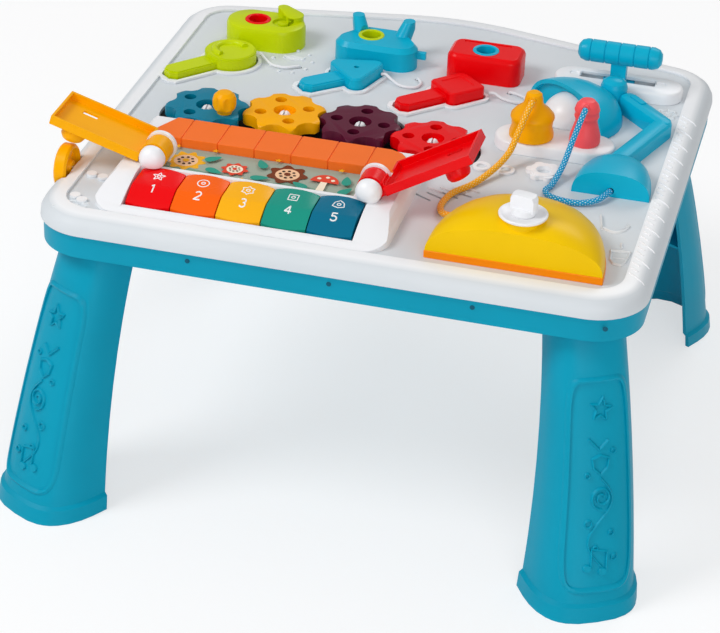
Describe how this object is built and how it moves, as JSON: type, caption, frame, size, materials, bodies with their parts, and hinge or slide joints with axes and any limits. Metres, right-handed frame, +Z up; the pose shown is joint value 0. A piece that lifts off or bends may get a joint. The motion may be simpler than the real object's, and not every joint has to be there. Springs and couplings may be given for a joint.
{
  "type": "toddler activity table",
  "caption": "four-legged play table with a rounded white deck carrying meshing gears, sprung keys, hinged doors, lock blocks, a corded iron and lamp, and a slider",
  "frame": {"origin": "on the floor under the middle of the bounding box", "axes": "+X to the right seen from the keys, +Y from the keys to the rear edge, +Z up"},
  "size_m": [0.5008, 0.5127, 0.2982],
  "materials": {
    "white_abs": "smooth white",
    "teal_pp": "fine matt",
    "lime_abs": "gloss",
    "cyan_abs": "gloss",
    "red_abs": "gloss",
    "yellow_abs": "gloss",
    "iron_yellow": "gloss",
    "orange_abs": "gloss",
    "amber_key": "gloss",
    "green_key": "gloss",
    "blue_key": "gloss",
    "teal_gear": "gloss",
    "maroon_abs": "gloss",
    "black_tray": "matt",
    "print_card": "printed card",
    "pink_abs": "gloss",
    "steel": "bright",
    "cell_wrap": "wrapped cell",
    "board": "board",
    "grey_rubber": "soft",
    "speaker_black": "paper cone",
    "braid_yellow": "round braid",
    "braid_blue": "round braid",
    "white_cord": "soft tie"
  },
  "bodies": {
    "table": {"top_shell": "white_abs", "base_shell": "teal_pp", "leg_front_left": "teal_pp", "leg_front_right": "teal_pp", "leg_rear_left": "teal_pp", "leg_rear_right": "teal_pp", "shell_screws": "steel", "battery_door": "teal_pp", "batteries": "cell_wrap", "battery_contacts": "steel", "circuit_board": "board", "key_switches": "grey_rubber", "speaker": "speaker_black", "piano_housing": "white_abs", "picture_panel": "print_card", "roof_tiles": "orange_abs", "key_rod": "steel", "steel_pins": "steel", "gear_tray": "black_tray", "gear_posts": "white_abs", "lock_green": "lime_abs", "lock_cyan": "cyan_abs", "lock_red": "red_abs", "sleeve_red": "red_abs", "sleeve_green": "lime_abs", "sleeve_cyan": "cyan_abs", "socket_strip": "white_abs", "slider_housing": "white_abs", "iron_body": "iron_yellow", "iron_band": "orange_abs", "iron_dish": "white_abs", "lamp_head": "cyan_abs", "lamp_bulb": "white_abs", "lamp_arm": "cyan_abs", "lamp_base": "cyan_abs", "iron_cord": "braid_yellow", "lamp_cord": "braid_blue", "tether_green": "white_cord", "tether_cyan": "white_cord", "tether_red": "white_cord"},
    "key_1": {"piano_key_1": "red_abs"},
    "key_2": {"piano_key_2": "orange_abs"},
    "key_3": {"piano_key_3": "amber_key"},
    "key_4": {"piano_key_4": "green_key"},
    "key_5": {"piano_key_5": "blue_key"},
    "gear_a": {"gear_teal": "teal_gear", "crank_knob": "yellow_abs"},
    "gear_b": {"gear_yellow": "yellow_abs"},
    "gear_c": {"gear_maroon": "maroon_abs"},
    "gear_d": {"gear_red": "red_abs"},
    "left_door": {"door_left": "yellow_abs"},
    "right_door": {"door_right": "red_abs"},
    "wheel": {"edge_wheel": "yellow_abs"},
    "slider": {"slider_handle": "cyan_abs"},
    "dial": {"iron_dial": "white_abs"},
    "green_key": {"toy_key_green": "lime_abs"},
    "cyan_key": {"toy_key_cyan": "cyan_abs"},
    "red_key": {"toy_key_red": "red_abs"},
    "yellow_plug": {"plug_yellow": "yellow_abs"},
    "pink_plug": {"plug_pink": "pink_abs"}
  },
  "joints": [
    {"name": "key_1_press", "type": "hinge", "parent": "table", "child": "key_1", "pos_m": [-0.1456, -0.117, 0.2365], "axis": [1, 0, 0], "range_deg": [0, 4], "stiffness_Nm_per_rad": 0.25, "springref_deg": -5.16},
    {"name": "key_2_press", "type": "hinge", "parent": "table", "child": "key_2", "pos_m": [-0.1108, -0.117, 0.2365], "axis": [1, 0, 0], "range_deg": [0, 4], "stiffness_Nm_per_rad": 0.25, "springref_deg": -5.16},
    {"name": "key_3_press", "type": "hinge", "parent": "table", "child": "key_3", "pos_m": [-0.076, -0.117, 0.2365], "axis": [1, 0, 0], "range_deg": [0, 4], "stiffness_Nm_per_rad": 0.25, "springref_deg": -5.16},
    {"name": "key_4_press", "type": "hinge", "parent": "table", "child": "key_4", "pos_m": [-0.0412, -0.117, 0.2365], "axis": [1, 0, 0], "range_deg": [0, 4], "stiffness_Nm_per_rad": 0.25, "springref_deg": -5.16},
    {"name": "key_5_press", "type": "hinge", "parent": "table", "child": "key_5", "pos_m": [-0.0064, -0.117, 0.2365], "axis": [1, 0, 0], "range_deg": [0, 4], "stiffness_Nm_per_rad": 0.25, "springref_deg": -5.16},
    {"name": "gear_teal_turn", "type": "hinge", "parent": "table", "child": "gear_a", "pos_m": [-0.1517, -0.00093, 0.241], "axis": [0, 0, 1], "continuous": true},
    {"name": "gear_yellow_turn", "type": "hinge", "parent": "table", "child": "gear_b", "pos_m": [-0.0905, 0.009, 0.241], "axis": [0, 0, 1], "continuous": true},
    {"name": "gear_maroon_turn", "type": "hinge", "parent": "table", "child": "gear_c", "pos_m": [-0.0285, 0.009, 0.241], "axis": [0, 0, 1], "continuous": true},
    {"name": "gear_red_turn", "type": "hinge", "parent": "table", "child": "gear_d", "pos_m": [0.0327, -0.00093, 0.241], "axis": [0, 0, 1], "continuous": true},
    {"name": "left_door_hinge", "type": "hinge", "parent": "table", "child": "left_door", "pos_m": [-0.156, -0.1, 0.257], "axis": [0, -1, 0], "range_deg": [-163.5, 0]},
    {"name": "right_door_hinge", "type": "hinge", "parent": "table", "child": "right_door", "pos_m": [0.012, -0.1, 0.257], "axis": [0, 1, 0], "range_deg": [-149.3, 15]},
    {"name": "edge_wheel_turn", "type": "hinge", "parent": "table", "child": "wheel", "pos_m": [-0.226, -0.119, 0.2365], "axis": [1, 0, 0], "continuous": true},
    {"name": "slider_travel", "type": "slide", "parent": "table", "child": "slider", "axis": [1, 0, 0], "range_m": [-0.024, 0.024]},
    {"name": "dial_turn", "type": "hinge", "parent": "table", "child": "dial", "pos_m": [0.133, -0.153, 0.276], "axis": [0, 0, 1], "range_deg": [-150, 150]},
    {"name": "green_key_lift", "type": "slide", "parent": "table", "child": "green_key", "axis": [0, 0, 1], "range_m": [0, 0.025], "deforming": ["tether_green"]},
    {"name": "cyan_key_lift", "type": "slide", "parent": "table", "child": "cyan_key", "axis": [0, 0, 1], "range_m": [0, 0.025], "deforming": ["tether_cyan"]},
    {"name": "red_key_lift", "type": "slide", "parent": "table", "child": "red_key", "axis": [0, 0, 1], "range_m": [0, 0.025], "deforming": ["tether_red"]},
    {"name": "yellow_plug_lift", "type": "slide", "parent": "table", "child": "yellow_plug", "axis": [0, 0, 1], "range_m": [0, 0.03], "deforming": ["iron_cord"]},
    {"name": "pink_plug_lift", "type": "slide", "parent": "table", "child": "pink_plug", "axis": [0, 0, 1], "range_m": [0, 0.03], "deforming": ["lamp_cord"]}
  ],
  "couplings": [
    {"joint": "gear_yellow_turn", "follows": "gear_teal_turn", "ratio": -1},
    {"joint": "gear_maroon_turn", "follows": "gear_teal_turn", "ratio": 1},
    {"joint": "gear_red_turn", "follows": "gear_teal_turn", "ratio": -1}
  ]
}
